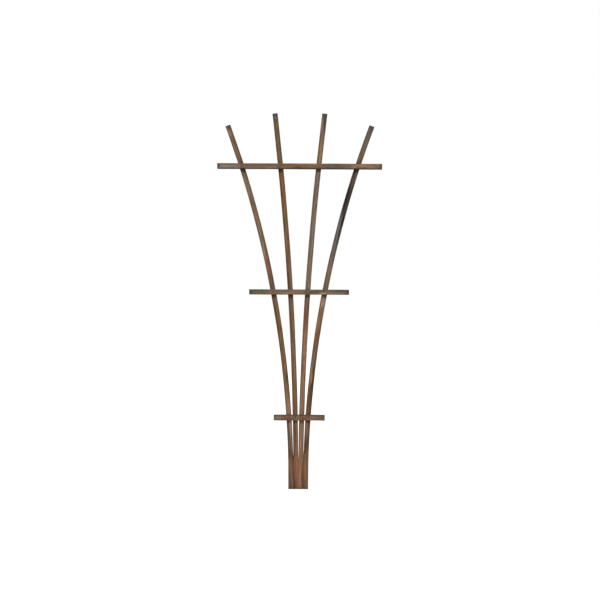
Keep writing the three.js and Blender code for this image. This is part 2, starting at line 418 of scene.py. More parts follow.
def closed_skin(name, node, points, poles, notes=()):
    """The piece that stands for a CAD node. Points is rings x columns x 3. Quads join neighbouring rings, and
    fans join the first and the last ring to the two poles. Notes are attributes: name, kind, a value for
    each point and each pole."""
    rings, columns = points.shape[:2]
    index = np.arange(rings * columns).reshape(rings, columns)
    beside = np.roll(index, -1, axis=1)
    quads = np.stack([index[:-1], beside[:-1], beside[1:], index[1:]], axis=-1).reshape(-1, 4)
    first, last = np.full(columns, rings * columns), np.full(columns, rings * columns + 1)
    fans = np.stack([[first, beside[0], index[0]], [last, index[-1], beside[-1]]])
    fans = fans.transpose(0, 2, 1).reshape(-1, 3)
    mesh = bpy.data.meshes.new(name)
    vertices = np.concatenate([points.reshape(-1, 3), poles])
    mesh.from_pydata(vertices, [], quads.tolist() + fans.tolist())
    mesh.polygons.foreach_set("use_smooth", np.ones(len(mesh.polygons), dtype=bool))
    for note, kind, values, at_poles in notes:
        size = 3 if kind == "FLOAT_VECTOR" else 1
        both = np.concatenate([np.reshape(values, (-1, size)), np.reshape(at_poles, (-1, size))])
        keep_on_points(mesh, note, kind, both)
    mesh.update()
    piece = new_object(name, mesh)
    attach(piece, "root")
    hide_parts(node)
    return piece


# %% The surface of one lath
CUT_SHORT = 0.03 * MM  # keeps the corners of a slanting tip inside the CAD box
RING_RELIEF = 0.1 * MM  # how far the soft wood between two ring lines is sunk
CORNER_REACH = 1.8 * MM  # how far from a corner the wear fades
END_REACH = 9 * MM  # how far from a cut the soaked wood fades
DEEP_MARK = 1.4 * MM  # a hollow this deep gets the full painted shade


def faces_inward(node, place, section, rng, pressed, planed):
    """How far each face lies inside its stock size: wander, plus planing, less the reach of pressed sides."""
    free = soft_step(place, FREE_FROM, 2 * FREE_FROM) if pressed else np.ones_like(place)
    inward = wandering_faces(place, section, rng, free, SAWN_FULL if pressed else SAWN_EVEN)
    inward = inward + pressed_sides(node, place, section, pressed)
    for side, shaving in zip((-1, 1), planed):
        bare = pressed and side not in [neighbour[0] for neighbour in pressed]
        weight = soft_step(place, *BARE_FROM) if bare else free
        inward = inward + shaving * MM * weight[:, None] * np.clip(side * section["out_across"], 0, 1) ** 2
    return inward


def lath(node, section, rings, wood, beds=(), pressed=()):
    """A lath's closed surface: at each ring the point is the line's own point, plus across times the square
    direction, plus depth times straight back; both are less the inset and the wear, times the share."""
    rng = np.random.default_rng(wood["seed"])
    place, length = rings["place"], rings["length"]
    marks = scars(rings, section, rng) + drying_cracks(rings, section, wood["cracks"])
    for bed in beds:
        marks = np.maximum(marks, bed(rings, section))
    inward = marks + rings["inset"][:, None]
    inward = inward + faces_inward(node, place, section, rng, pressed, wood["planed"])
    share = rings["share"][:, None]
    across = share * (section["across"] - inward * section["out_across"])
    depth = share * (section["depth"] - inward * section["out_depth"])
    along = np.broadcast_to(place[:, None], across.shape)
    pith, ring_width = wood["pith"], wood["ring_width"]
    count = ring_count(across, depth, along, pith, ring_width, wood["knots"], rng)
    sunk = RING_RELIEF * np.abs(np.sin(math.pi * count)) * share
    across = across - sunk * section["out_across"]
    depth = depth - sunk * section["out_depth"]
    middle, heading = line_at(lines[node], np.clip(place, CUT_SHORT, length - CUT_SHORT))
    back = np.array([0.0, 1.0, 0.0])
    square = np.cross(back, heading)
    points = middle[:, None] + across[..., None] * square[:, None] + depth[..., None] * back
    in_lath = np.stack([across, depth, along], axis=-1)
    corner = np.exp(-((section["gap"] / CORNER_REACH) ** 2)) * (share == 1) + (share < 1) * share**8
    near_end = np.exp(-np.minimum(along, length - along) / END_REACH)
    # The third part, the depth of the marks, later paints shade into the hollows.
    wear_and_shade = np.stack([corner, near_end, np.clip(marks / DEEP_MARK, 0, 1)], axis=-1)
    lath_poles = np.array([[0, 0, 0], [0, 0, length]])
    pole_count = ring_count(np.zeros(2), np.zeros(2), lath_poles[:, 2], pith, ring_width, (), rng)
    notes = [
        ("in_lath", "FLOAT_VECTOR", in_lath, lath_poles),
        ("ring_count", "FLOAT", count, pole_count),
        ("wear_and_shade", "FLOAT_VECTOR", wear_and_shade, np.array([[0, 1, 0], [0, 1, 0]])),
    ]
    return closed_skin(f"sawn_{node}", node, points, middle[[0, -1]], notes)


print("soft wood is sunk by", RING_RELIEF / MM, "mm")

# %% [markdown]
# ## Beds for staples and screws
# A staple gun drives the crown flush with the rail and crushes the wood under it, so the rail needs a shallow
# slanting bed, or the wire would be buried. The two foot screws have countersunk heads, and each sits in a
# round dish a little below the side of the outer upright. A bed is a function of the rings and the section.

# %% Bed shapes
STAPLE_CROWN = 11.1 * MM
STAPLE_WIRE = 1.6 * MM
STAPLE_TILT = math.radians(30)
BED_DEPTH = 0.95 * MM
DISH_DEPTH = 1.7 * MM
DISH_RADIUS = 4.75 * MM


def staple_bed(where):
    """A slanting slot in a rail's front face, a little longer and wider than the crown."""
    def bed(rings, section):
        along = rings["place"][:, None] - where
        across = section["across"][None, :]
        down_crown = along * math.cos(STAPLE_TILT) - across * math.sin(STAPLE_TILT)
        over_crown = along * math.sin(STAPLE_TILT) + across * math.cos(STAPLE_TILT)
        half_crown, half_wire = STAPLE_CROWN / 2, STAPLE_WIRE / 2
        inside = soft_step(-np.abs(down_crown), -half_crown - 1 * MM, -half_crown - 0.3 * MM)
        inside = inside * soft_step(-np.abs(over_crown), -half_wire - 1 * MM, -half_wire - 0.2 * MM)
        return BED_DEPTH * inside * (section["out_depth"][None, :] < -0.9)
    return bed


def screw_dish(where, side):
    """A round dish in the outer side of an outer upright, half the depth of the lath up from its front."""
    def dish(rings, section):
        away = np.hypot(rings["place"][:, None] - where, section["depth"][None, :])
        inside = soft_step(-away, -DISH_RADIUS - 0.5 * MM, -DISH_RADIUS + 0.2 * MM)
        return DISH_DEPTH * inside * (section["out_across"][None, :] * side > 0.9)
    return dish


print("a staple bed is", BED_DEPTH / MM, "mm deep, a screw's dish", DISH_DEPTH / MM, "mm")

# %% [markdown]
# ## Make the seven laths
# Each lath has its own place in a log, its own knots and its own cracks, as no two laths in a bundle match.
# All numbers are in millimetres: the pith's place in the section, the width of a ring, how much the two sides
# were planed (less than nought is full), knots as place along, offset across and radius, and cracks as end,
# offset across and length. A rail's foot is its left end.

# %% What each lath is like
LATH_WOOD = {
    "left_outer": {
        "seed": 11, "pith": (26, 22), "ring_width": 2.6, "planed": (-0.5, -0.3),
        "knots": [(1322, 8, 2.4), (706, -5, 3.1), (452, 3, 1.8)],
        "cracks": [("tip", -3.5, 38), ("foot", 2, 26)],
    },
    "left_inner": {
        "seed": 12, "pith": (-18, 30), "ring_width": 3.1, "planed": (-0.35, -0.25),
        "knots": [(1655, -6, 2.2), (1110, -7, 2.6), (590, 6, 2.0)],
        "cracks": [("foot", -4.5, 74), ("tip", 4, 22)],
    },
    "right_inner": {
        "seed": 13, "pith": (12, 38), "ring_width": 2.3, "planed": (-0.35, -0.4),
        "knots": [(1480, 7, 2.1), (838, -4, 2.7)],
        "cracks": [("foot", 7, 60), ("tip", 5.5, 40)],
    },
    "right_outer": {
        "seed": 14, "pith": (-30, 16), "ring_width": 2.8, "planed": (-0.6, -0.75),
        "knots": [(1345, -6, 2.8), (1000, 5, 2.2), (560, 7, 2.4)],
        "cracks": [("tip", 2.5, 30)],
    },
    "lower": {
        "seed": 21, "pith": (20, -26), "ring_width": 2.7, "planed": (-0.3, -0.8),
        "knots": [(96, 6, 1.9)],
        "cracks": [("foot", 3, 20)],
    },
    "middle": {
        "seed": 22, "pith": (-24, -20), "ring_width": 2.4, "planed": (0.8, 0),
        "knots": [(64, -5, 2.3), (380, 4, 2.6)],
        "cracks": [("tip", -5, 32), ("foot", 6, 18)],
    },
    "top": {
        "seed": 23, "pith": (8, -34), "ring_width": 3.0, "planed": (-0.5, 0.3),
        "knots": [(118, 5, 2.2), (512, -4, 2.9)],
        "cracks": [("tip", 4, 45), ("foot", -3, 28)],
    },
}
print("knots in all:", sum(len(wood["knots"]) for wood in LATH_WOOD.values()))

# %% [markdown]
# The outer uprights have closer columns on the side where a screw goes in, and the rails on the front where
# the staples lie. Two neighbouring uprights part at the height given for the pair.

# %% Uprights
PARTING_HEIGHTS = {("left_outer", "left_inner"): 144 * MM, ("left_inner", "right_inner"): 126 * MM,
                   ("right_inner", "right_outer"): 156 * MM}
SCREW_SIDES = {"left_outer": ("foot_screw_lower", -1), "right_outer": ("foot_screw_upper", 1)}
pressed_by = {upright: [] for upright in UPRIGHTS}
for (left, right), height in PARTING_HEIGHTS.items():
    pressed_by[left].append((1, f"{right}_upright", height))
    pressed_by[right].append((-1, f"{left}_upright", height))
laths = {}


def saw_lath(node, width, steps, ring_step, fine_rings, beds, pressed=()):
    """One lath of the trellis: its section, its rings and its skin. Fine rings are the places where they lie
    close together, how far to each side, and how close."""
    wood = LATH_WOOD[node.rsplit("_", 1)[0]]
    wood = {**wood, "cracks": [(end, across * MM, length * MM) for end, across, length in wood["cracks"]]}
    section = lath_section(width, LATH_DEPTH, steps, [crack[1] for crack in wood["cracks"]])
    rings = ring_places(lines[node]["along"][-1], ring_step, *fine_rings)
    laths[node] = lath(node, section, rings, wood, beds, pressed)
    print(node, len(laths[node].data.polygons), "faces")


for upright in UPRIGHTS:
    steps, spots, beds = dict(plain_steps), [], []
    if upright in SCREW_SIDES:
        screw, side = SCREW_SIDES[upright]
        spots = [middle_of(screw)[2]]
        beds = [screw_dish(spots[0], side)]
        steps["left" if side < 0 else "right"] = 0.5 * MM
    fine_rings = (spots, 7 * MM, 0.4 * MM)
    saw_lath(f"{upright}_upright", UPRIGHT_WIDTH, steps, UPRIGHT_RING_STEP, fine_rings, beds,
             pressed_by[upright])

# %% Rails
rail_steps = {"front": 0.5 * MM, "right": 1 * MM, "back": 1.2 * MM, "left": 1 * MM}
for number, rail in enumerate(RAILS):
    left_end = lines[f"{rail}_rail"]["x"][0]
    spots = [crossings[upright][number] - left_end for upright in UPRIGHTS]
    beds = [staple_bed(spot) for spot in spots]
    fine_rings = (spots, 7.5 * MM, 0.5 * MM)
    saw_lath(f"{rail}_rail", RAIL_WIDTH, rail_steps, RAIL_RING_STEP, fine_rings, beds)

# %% [markdown]
# ## Staples
# A staple is flat wire bent twice and cut slanting at both ends. Its path is leg, shoulder, crown, shoulder,
# leg, and the section of the wire, a small rounded rectangle, is carried along that path. Only the crown
# shows, but the legs are there too, as long as the real ones.

# %% Bent wire
STAPLE_LENGTH = 26 * MM
STAPLE_THICK = 1.4 * MM
SHOULDER = 1.2 * MM
STAPLE_POINT = 1.8 * MM
WIRE_CORNER = 0.3 * MM
LEG_RINGS = 24
ARC_RINGS = 7
CROWN_RINGS = 9


def wire_path():
    """The middle of the wire as points (along the crown, into the wood), with its direction at each."""
    half, bend, deep = (STAPLE_CROWN - STAPLE_THICK) / 2, SHOULDER - STAPLE_THICK / 2, STAPLE_THICK / 2
    turn = np.linspace(0, math.pi / 2, ARC_RINGS)
    arc = np.stack([-half + bend - bend * np.cos(turn), deep + bend - bend * np.sin(turn)], axis=-1)
    legs_end = np.linspace(STAPLE_LENGTH, arc[0, 1] + 0.2 * MM, LEG_RINGS)
    leg = np.stack([np.full(LEG_RINGS, -half), legs_end], axis=-1)
    to_middle = np.linspace(arc[-1, 0], 0, CROWN_RINGS + 1)[1:]
    crown = np.stack([to_middle, np.full(CROWN_RINGS, deep)], axis=-1)
    left = np.concatenate([leg, arc, crown])
    right = left[-2::-1] * [-1, 1]
    path = np.concatenate([left, right])
    heading = np.gradient(path, axis=0)
    return path, heading / np.linalg.norm(heading, axis=-1, keepdims=True)


def staple(rail, upright):
    """The wire's surface: path point + thickness times the path's inner side + width square to both. The end
    rings are sheared, so that the inner side stops short of the outer one, as a slanting cut leaves it."""
    wire_steps = {face: 0.4 * MM for face in plain_steps}
    section = lath_section(STAPLE_WIRE, STAPLE_THICK, wire_steps, radius=WIRE_CORNER)
    path, heading = wire_path()
    tilt = np.array([math.cos(STAPLE_TILT), 0, math.sin(STAPLE_TILT)])
    into = np.array([0, 1.0, 0])
    wide = np.cross(into, tilt)
    inner = heading[:, :1] * into - heading[:, 1:] * tilt
    node = f"staple_{rail}_{upright}"
    centre = middle_of(node)
    centre[1] = -LATH_DEPTH
    middle = centre + path[:, :1] * tilt + path[:, 1:] * into
    points = middle[:, None] - section["across"][:, None] * wide + section["depth"][:, None] * inner[:, None]
    cut = STAPLE_POINT * (0.5 + section["depth"] / STAPLE_THICK)
    points[[0, -1]] -= cut[:, None] * into
    return closed_skin(f"wire_{rail}_{upright}", node, points, points[[0, -1]].mean(axis=1))


staples = [staple(rail, upright) for rail in RAILS for upright in UPRIGHTS]
print(len(staples), "staples of", len(staples[0].data.polygons), "faces")

# %% [markdown]
# ## Foot screws
# Two long wood screws hold the foot together, one from each side. A screw is a turned shape, so its surface
# is a radius that depends on the place along the axis and on the turn round it: the thread is a sawtooth that
# climbs one pitch a turn, and the drive recess in the head is a six-pointed pit.

# %% Turned screws
SCREW_LENGTH = 89 * MM
SCREW_HEAD = 4.3 * MM
SCREW_CORE = 1.55 * MM
SCREW_THREAD = 2.25 * MM
SCREW_CONE = 3.4 * MM
SCREW_TIP = 9 * MM
THREAD_PITCH = 2.6 * MM
THREAD_START = (34 * MM, 36 * MM)
RECESS = 2.3 * MM
RECESS_STAR = (1.75 * MM, 0.3 * MM)  # mean radius, and how far its six points stand out
SCREW_COLUMNS = 48
FACE_RINGS = 16
BODY_RINGS = 340


def foot_screw(node, side):
    """Radius against place: head face with its recess, countersunk cone, smooth shank, thread, point."""
    turn = np.linspace(0, 2 * math.pi, SCREW_COLUMNS, endpoint=False)[None, :]
    face = np.linspace(0.08, 1, FACE_RINGS)[:, None] * SCREW_HEAD
    star = RECESS_STAR[0] + RECESS_STAR[1] * np.cos(6 * turn)
    pit = RECESS * soft_step(-face, -star - 0.15 * MM, -star + 0.15 * MM)
    body = np.linspace(0.15 * MM, SCREW_LENGTH - 0.1 * MM, BODY_RINGS)[:, None]
    cone = SCREW_HEAD - (SCREW_HEAD - SCREW_THREAD) * body / SCREW_CONE
    tooth = 1 - np.abs(((body / THREAD_PITCH - turn / (2 * math.pi)) % 1) * 2 - 1)
    threaded = soft_step(body, *THREAD_START)
    shank = (SCREW_CORE + 0.25 * MM) * (1 - threaded)
    shank = shank + threaded * (SCREW_CORE + (SCREW_THREAD - SCREW_CORE) * tooth**3)
    point = np.clip((SCREW_LENGTH - body) / SCREW_TIP, 0.02, 1)
    radius = np.maximum(cone * (body < SCREW_CONE), shank * point)
    radius = np.concatenate([np.broadcast_to(face, (FACE_RINGS, SCREW_COLUMNS)), radius])
    place = np.concatenate([pit, np.broadcast_to(body, (BODY_RINGS, SCREW_COLUMNS))])
    head = middle_of(node)
    head[0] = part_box(node)[1 if side > 0 else 0][0]
    axis = np.array([-side, 0.0, 0.0])
    up = np.array([0, 0, 1.0])
    ray = np.cos(turn)[..., None] * up + np.sin(turn)[..., None] * np.cross(axis, up)
    points = head + place[..., None] * axis + radius[..., None] * ray
    poles = np.array([head + RECESS * axis, head + SCREW_LENGTH * axis])
    return closed_skin(f"turned_{node}", node, points[:, ::-1], poles)


screws = [foot_screw("foot_screw_lower", -1), foot_screw("foot_screw_upper", 1)]
for screw in screws:
    print(screw.name, len(screw.data.polygons), "faces")

# %% [markdown]
# ## Values that flow through nodes
# Materials are built from nodes. Written node by node, even a * b + c takes many lines, so the small class
# below holds what comes out of a node, and Python's own signs on it add the Math nodes. An effect that many
# materials share is a shader group, built once. Here it is written as a formula, and the line above the
# formula turns it into such a group, so that its name afterwards places the group in a material.

# %% Values and nodes
class Value:
    """What comes out of a node. The signs + - * / ** and the methods below each add the next node."""

    def __init__(self, tree, socket):
        self.tree = tree
        self.socket = socket

    def maths(self, operation, other=0.0):
        """One Math node on this value, and on the other where the operation takes two."""
        return add_node(self.tree, "Math", {0: self, 1: other}, operation=operation)

    def __add__(self, other):
        return self.maths("ADD", other)

    def __sub__(self, other):
        return self.maths("SUBTRACT", other)

    def __mul__(self, other):
        return self.maths("MULTIPLY", other)

    def __truediv__(self, other):
        return self.maths("DIVIDE", other)

    def __pow__(self, other):
        return self.maths("POWER", other)

    def or_more(self, other):
        """The larger of the two."""
        return self.maths("MAXIMUM", other)

    def eased(self, start, end, low=0.0, high=1.0):
        """A smooth step, from low at start to high at end."""
        sockets = {"Value": self, "From Min": start, "From Max": end, "To Min": low, "To Max": high}
        return add_node(self.tree, "MapRange", sockets, interpolation_type="SMOOTHSTEP")

    def between(self, first, second, blend="MIX"):
        """Two colours mixed, with this value as the share of the second."""
        sockets = {0: self, 6: first, 7: second}
        return add_node(self.tree, "Mix", sockets, take=2, data_type="RGBA", blend_type=blend)

    def parts(self):
        """The three parts of a vector."""
        node = add_node(self.tree, "SeparateXYZ", {0: self}).socket.node
        return [Value(self.tree, socket) for socket in node.outputs]


def feed(value, socket):
    """Gives a socket a link from a value, or else a plain number or colour."""
    if isinstance(value, Value):
        value.tree.links.new(value.socket, socket)
    else:
        socket.default_value = value


def add_node(tree, kind, sockets=(), take=0, **settings):
    """Adds a shader node, sets its settings, feeds its sockets, and takes one of its outputs as a value."""
    node = tree.nodes.new(f"ShaderNode{kind}")
    for setting, value in settings.items():
        setattr(node, setting, value)
    for key, value in dict(sockets).items():
        feed(value, node.inputs[key])
    return Value(tree, node.outputs[take])


def joined(x, y, z=0.0):
    """Three values as one vector."""
    return add_node(x.tree, "CombineXYZ", {0: x, 1: y, 2: z})


def distance(x, y):
    """How far (x, y) lies from nought: the root of the sum of the squares."""
    return (x * x + y * y) ** 0.5


def noise(place, scale, detail, seed=None, roughness=0.5):
    """Noise at a place, around a half. A seed picks one of many patterns."""
    sockets = {"Vector": place, "Scale": scale, "Detail": detail, "Roughness": roughness}
    if seed is None:
        return add_node(place.tree, "TexNoise", sockets, noise_dimensions="3D")
    return add_node(place.tree, "TexNoise", {**sockets, "W": seed}, noise_dimensions="4D")


print("signs that add a node: + - * / **")

# %% Groups and materials
def shared_effect(output, *names):
    """Turns the formula below it into a shader group with that output, and with one named input for each of
    the formula's own. In Lath is a vector and all else are numbers."""
    def build(formula):
        group = bpy.data.node_groups.new(formula.__name__, "ShaderNodeTree")
        for name in names:
            kind = "NodeSocketVector" if name == "In Lath" else "NodeSocketFloat"
            group.interface.new_socket(name, in_out="INPUT", socket_type=kind)
        group.interface.new_socket(output, in_out="OUTPUT", socket_type="NodeSocketFloat")
        given = group.nodes.new("NodeGroupInput").outputs
        result = formula(*[Value(group, given[name]) for name in names])
        feed(result, group.nodes.new("NodeGroupOutput").inputs[output])
        print("group", group.name, "takes", ", ".join(names), "and gives", output)

        def place_group(*values):
            node = values[0].tree.nodes.new("ShaderNodeGroup")
            node.node_tree = group
            for value, socket in zip(values, node.inputs, strict=True):
                feed(value, socket)
            return Value(values[0].tree, node.outputs[output])
        return place_group
    return build


def new_material(name):
    """A material with its own node tree."""
    material = bpy.data.materials.new(name)
    material.use_nodes = True
    return material, material.node_tree


def feed_shader(tree, bump, **sockets):
    """Feeds the main shader: its sockets by name, with _ for a space, and a bump of height, strength and
    distance."""
    given = dict(zip(("Height", "Strength", "Distance"), bump))
    shader = tree.nodes["Principled BSDF"]
    feed(add_node(tree, "Bump", given), shader.inputs["Normal"])
    for key, value in sockets.items():
        feed(value, shader.inputs[key.replace("_", " ")])


print("materials so far:", len(bpy.data.materials))

# %% [markdown]
# ## Effects that all the wood shares
# Close up, stained softwood shows fibres less than a millimetre wide; from a few steps away it shows streaks
# a finger wide that run for a hand's length. Both are the same noise, stretched along the lath by different
# amounts. The other groups are the dark latewood line of each growth ring, the faint ripple that a band saw
# leaves, grey weathered patches, worn corners, small knots, marks, darkening along edges, which is painted
# shade along the top rail's lower edge, and hairline checks.

# %% Streaks along the grain
@shared_effect("Streak", "In Lath", "Width", "Length", "Seed")
def streaks(in_lath, width, length, seed):
    """Noise on (across / width, depth / width, along / length): long where length is much over width."""
    across, depth, along = in_lath.parts()
    stretched = joined(across / width, depth / width, along / length)
    return noise(stretched, 1.0, 2.0, seed, 0.55).eased(0.28, 0.72)


# %% Latewood lines, saw ripple and hairline checks
@shared_effect("Latewood", "Ring Count", "Fibre")
def latewood(ring_count, fibre):
    """The share of the current ring that is behind us: it darkens slowly and ends with a sharp edge."""
    share = (ring_count + fibre * 0.22).maths("FRACT")
    return share.eased(0.35, 0.86) * share.eased(0.9, 1.0, 1.0, 0.0)


@shared_effect("Ripple", "In Lath", "Pitch", "Streak")
def saw_ripple(in_lath, pitch, streak):
    """A sine along the lath, one wave a tooth mark, that leans across the face and comes and goes."""
    across, _, along = in_lath.parts()
    phase = (across * 0.35 + along) / pitch * math.tau + streak * 3.0
    return (phase.maths("SINE") * 0.5 + 0.5) * noise(in_lath, 14.0, 1.0).eased(0.42, 0.62)


@shared_effect("Check", "Streak", "Dry")
def hairlines(streak, dry):
    """Fine checks: the lines where a streak passes its middle value, kept only on the drier stretches."""
    from_middle = (streak - 0.5).maths("ABSOLUTE")
    return from_middle.eased(0.015, 0.045, 1.0, 0.0) * dry.eased(0.5, 0.8)


# %% Grey patches, marks and knots
@shared_effect("Patch", "In Lath", "Streak", "Amount", "Seed")
def grey_patches(in_lath, streak, amount, seed):
    """Patches where the stain has thinned: slow noise plus a little streak, over a threshold."""
    across, depth, along = in_lath.parts()
    slow = noise(joined(across * 38.0, depth * 38.0, along * 9.0), 1.0, 3.0, seed)
    return (slow + streak * 0.14 + amount).eased(0.72, 0.95)


@shared_effect("Blotch", "In Lath", "Along", "Across", "Half Length", "Half Width", "Streak", "Fibre")
def blotch(in_lath, along, across, half_length, half_width, streak, fibre):
    """A patch of another tone: the distance from its middle, over its half length and half width, made
    ragged by the streaks and the fibres."""
    own_across, _, own_along = in_lath.parts()
    away = distance((own_along - along) / half_length, (own_across - across) / half_width)
    return (away + 0.6 - streak * 0.8 - fibre * 0.4).eased(0.65, 1.1, 1.0, 0.0)


@shared_effect("Radii", "In Lath", "Along", "Across", "Radius", "Fibre")
def pin_knot(in_lath, along, across, radius, fibre):
    """Distance from the knot's middle over its radius, with the knot a third longer along the grain and its
    outline made uneven by the fibres."""
    own_across, _, own_along = in_lath.parts()
    return distance((own_along - along) * 0.7, own_across - across) / radius + fibre * 0.4


# %% Worn corners, and darkening along the edges that is partly painted shade
EDGE_DARK_REACH = 6 * MM


@shared_effect("Worn", "Corner", "Streak", "Fibre")
def worn_corners(corner, streak, fibre):
    """A corner mask, broken up by streaks so that the wear comes and goes along it."""
    return corner * (fibre * 0.35 + streak).eased(0.35, 0.95)


@shared_effect("Edge Darkening", "In Lath", "Half Width", "First", "Second", "Streak")
def edge_grime_and_shade(in_lath, half_width, first, second, streak):
    """Darkening that rises over the last few millimetres before each edge. Along the top rail's lower edge it
    is painted shade of the rail's underside.
    """
    across, _, _ = in_lath.parts()
    inner = half_width - EDGE_DARK_REACH
    at_first = (across * -1.0).eased(inner, half_width)
    at_second = across.eased(inner, half_width)
    return (at_first * first + at_second * second) * streak.eased(0.05, 0.6, 0.6, 1.0)


# %% [markdown]
# ## Stain tones
# The stain is one brown, but each lath took it in its own way: heartwood stays red, sapwood goes golden, and
# wood that was damp or lay outside turns grey. So there is a small palette of tones, and each lath has two
# short lists, one for each edge, that say which tone it has at which place. The two lists meet in a wavering
# line down the middle of the lath, as heartwood and sapwood do.

# %% The palette
TONES = {
    "red_brown": (127, 97, 78), "russet": (116, 83, 64), "warm_brown": (119, 90, 64),
    "golden": (110, 78, 45), "olive_gold": (116, 90, 59), "honey": (133, 102, 75),
    "pink_brown": (140, 102, 77), "chestnut": (116, 79, 51), "dark_chestnut": (101, 67, 41),
    "grey_brown": (120, 101, 83), "ash": (125, 110, 97), "smoke": (110, 96, 83),
    "purple_grey": (105, 90, 83), "slate": (91, 81, 72), "soot": (76, 67, 59), "near_black": (61, 51, 42),
    "umber": (88, 66, 46), "tan": (147, 119, 95), "rust": (126, 82, 54), "brick": (125, 84, 64),
    "cold_slate": (78, 77, 74), "cold_black": (54, 49, 45), "rose_brown": (150, 112, 91),
    "wet_slate": (64, 61, 57), "pitch": (40, 36, 33), "pale_ash": (136, 123, 112),
    "moss_brown": (100, 92, 71), "cool_grey": (110, 105, 98), "burnt_umber": (82, 56, 35),
    "pale_tan": (160, 135, 110),
}


def as_written(tone):
    """A tone's screen numbers as the linear colour that a shader reads."""
    screen = np.array(TONES[tone]) / 255
    linear = np.where(screen <= 0.04045, screen / 12.92, ((screen + 0.055) / 1.055) ** 2.4)
    return (*linear.tolist(), 1.0)


print("palette:", ", ".join(TONES))

# %% [markdown]
# Heights are in millimetres above the foot for an upright, and from the left end for a rail. The first list
# is the left edge of an upright or the upper edge of a rail, and the second is the other edge.

# %% Tones of the uprights
EDGE_TONES = {
    "left_outer": (
        [(0, "russet"), (170, "russet"), (240, "purple_grey"), (290, "slate"), (378, "honey"),
         (790, "golden"), (1080, "warm_brown"), (1150, "tan"), (1290, "purple_grey"), (1350, "honey"),
         (1410, "grey_brown"), (1450, "tan"), (1490, "tan"), (1545, "smoke"), (1690, "grey_brown"),
         (1745, "tan"), (1768, "slate")],
        [(0, "umber"), (14, "brick"), (200, "warm_brown"), (300, "tan"), (420, "tan"), (490, "honey"),
         (540, "umber"), (600, "honey"), (760, "warm_brown"), (840, "honey"), (940, "grey_brown"),
         (1000, "slate"), (1045, "russet"), (1500, "red_brown"), (1570, "umber"), (1640, "warm_brown"),
         (1745, "red_brown"), (1768, "slate")],
    ),
    "left_inner": (
        [(0, "umber"), (110, "russet"), (290, "golden"), (450, "warm_brown"), (540, "golden"),
         (690, "olive_gold"), (850, "golden"), (900, "slate"), (960, "umber"), (1050, "umber"),
         (1110, "golden"), (1210, "honey"), (1290, "golden"), (1730, "golden"), (1780, "olive_gold"),
         (1797, "cold_slate"), (1829, "soot")],
        [(0, "umber"), (12, "russet"), (60, "pink_brown"), (120, "pink_brown"), (180, "russet"),
         (480, "olive_gold"), (540, "honey"), (760, "grey_brown"), (840, "olive_gold"),
         (1050, "grey_brown"), (1180, "warm_brown"), (1560, "olive_gold"), (1605, "slate"),
         (1740, "slate"), (1785, "olive_gold"), (1799, "cold_slate"), (1829, "soot")],
    ),
    "right_inner": (
        [(0, "russet"), (16, "rose_brown"), (300, "honey"), (400, "tan"), (480, "honey"), (860, "russet"),
         (1010, "grey_brown"), (1560, "grey_brown"), (1610, "warm_brown"), (1690, "warm_brown"),
         (1740, "ash"), (1800, "ash"), (1829, "slate")],
        [(0, "umber"), (16, "chestnut"), (90, "chestnut"), (220, "rose_brown"), (400, "honey"),
         (840, "pink_brown"), (945, "slate"), (1010, "tan"), (1060, "ash"), (1460, "grey_brown"),
         (1530, "ash"), (1570, "smoke"), (1640, "honey"), (1760, "umber"), (1829, "soot")],
    ),
    "right_outer": (
        [(0, "umber"), (16, "russet"), (120, "warm_brown"), (230, "dark_chestnut"), (300, "tan"),
         (400, "chestnut"), (490, "chestnut"), (540, "pink_brown"), (615, "ash"), (690, "russet"),
         (760, "chestnut"), (900, "tan"), (1000, "slate"), (1070, "grey_brown"), (1300, "cool_grey"),
         (1360, "wet_slate"), (1400, "pitch"), (1450, "pitch"), (1505, "umber"), (1540, "near_black"),
         (1590, "smoke"), (1768, "cold_slate")],
        [(0, "umber"), (16, "grey_brown"), (120, "warm_brown"), (230, "umber"), (320, "chestnut"),
         (465, "burnt_umber"), (760, "chestnut"), (900, "tan"), (950, "grey_brown"), (1000, "warm_brown"),
         (1070, "grey_brown"), (1200, "cold_slate"), (1290, "pitch"), (1400, "soot"),
         (1480, "near_black"), (1520, "smoke"), (1600, "umber"), (1640, "smoke"), (1740, "purple_grey"),
         (1768, "cold_slate")],
    ),
}
print("stops on the longest list:", max(len(tones) for pair in EDGE_TONES.values() for tones in pair))

# %% Tones of the rails
EDGE_TONES.update({
    "lower": (
        [(0, "slate"), (6, "ash"), (50, "slate"), (98, "warm_brown"), (112, "cold_slate"),
         (140, "russet"), (190, "grey_brown"), (235, "slate"), (247, "smoke")],
        [(0, "slate"), (6, "tan"), (52, "russet"), (98, "honey"), (112, "tan"), (132, "warm_brown"),
         (170, "honey"), (215, "warm_brown"), (240, "grey_brown"), (247, "slate")],
    ),
    "middle": (
        [(0, "slate"), (90, "moss_brown"), (110, "grey_brown"), (370, "grey_brown"), (400, "slate"),
         (450, "slate"), (465, "smoke"), (483, "soot")],
        [(0, "slate"), (26, "smoke"), (40, "olive_gold"), (90, "moss_brown"), (125, "honey"),
         (180, "tan"), (220, "honey"), (350, "grey_brown"), (375, "tan"), (400, "grey_brown"),
         (452, "grey_brown"), (483, "soot")],
    ),
    "top": (
        [(0, "soot"), (8, "ash"), (30, "pale_ash"), (150, "brick"), (265, "grey_brown"),
         (320, "warm_brown"), (500, "honey"), (525, "smoke"), (640, "smoke"), (665, "tan"),
         (775, "honey"), (790, "tan"), (799, "slate")],
        [(0, "soot"), (8, "ash"), (34, "pale_ash"), (140, "red_brown"), (280, "red_brown"),
         (360, "chestnut"), (490, "chestnut"), (510, "honey"), (530, "slate"), (672, "grey_brown"),
         (690, "warm_brown"), (740, "tan"), (799, "slate")],
    ),
})
print("laths with tones:", ", ".join(EDGE_TONES))
